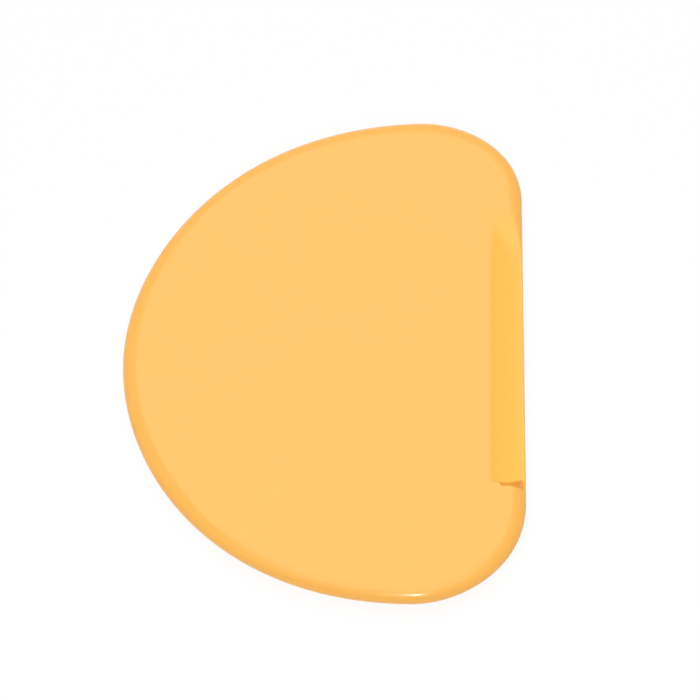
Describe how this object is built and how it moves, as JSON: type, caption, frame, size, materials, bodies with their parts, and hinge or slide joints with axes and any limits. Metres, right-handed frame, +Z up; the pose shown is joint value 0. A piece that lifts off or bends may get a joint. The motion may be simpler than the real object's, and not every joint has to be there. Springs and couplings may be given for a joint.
{
  "type": "bowl scraper",
  "caption": "D-shaped flexible bowl scraper: silicone jacket with a rounded rim and a tapered straight scraping lip, which starts at a step and runs out up a ramp, moulded round a stiff perforated core.",
  "frame": {"origin": "under the middle of the blade's length and width, on the flat back face that it lies on", "axes": "+Z up out of the front face, +X towards the straight scraping lip, +Y along the length, away from the viewer of the picture"},
  "size_m": [0.096, 0.125, 0.006],
  "materials": {
    "jacket_silicone": "satin silicone, amber yellow all over",
    "core_nylon": "natural nylon, matt as moulded"
  },
  "bodies": {
    "root": {"silicone_jacket": "jacket_silicone", "stiffener_core": "core_nylon"}
  },
  "joints": []
}
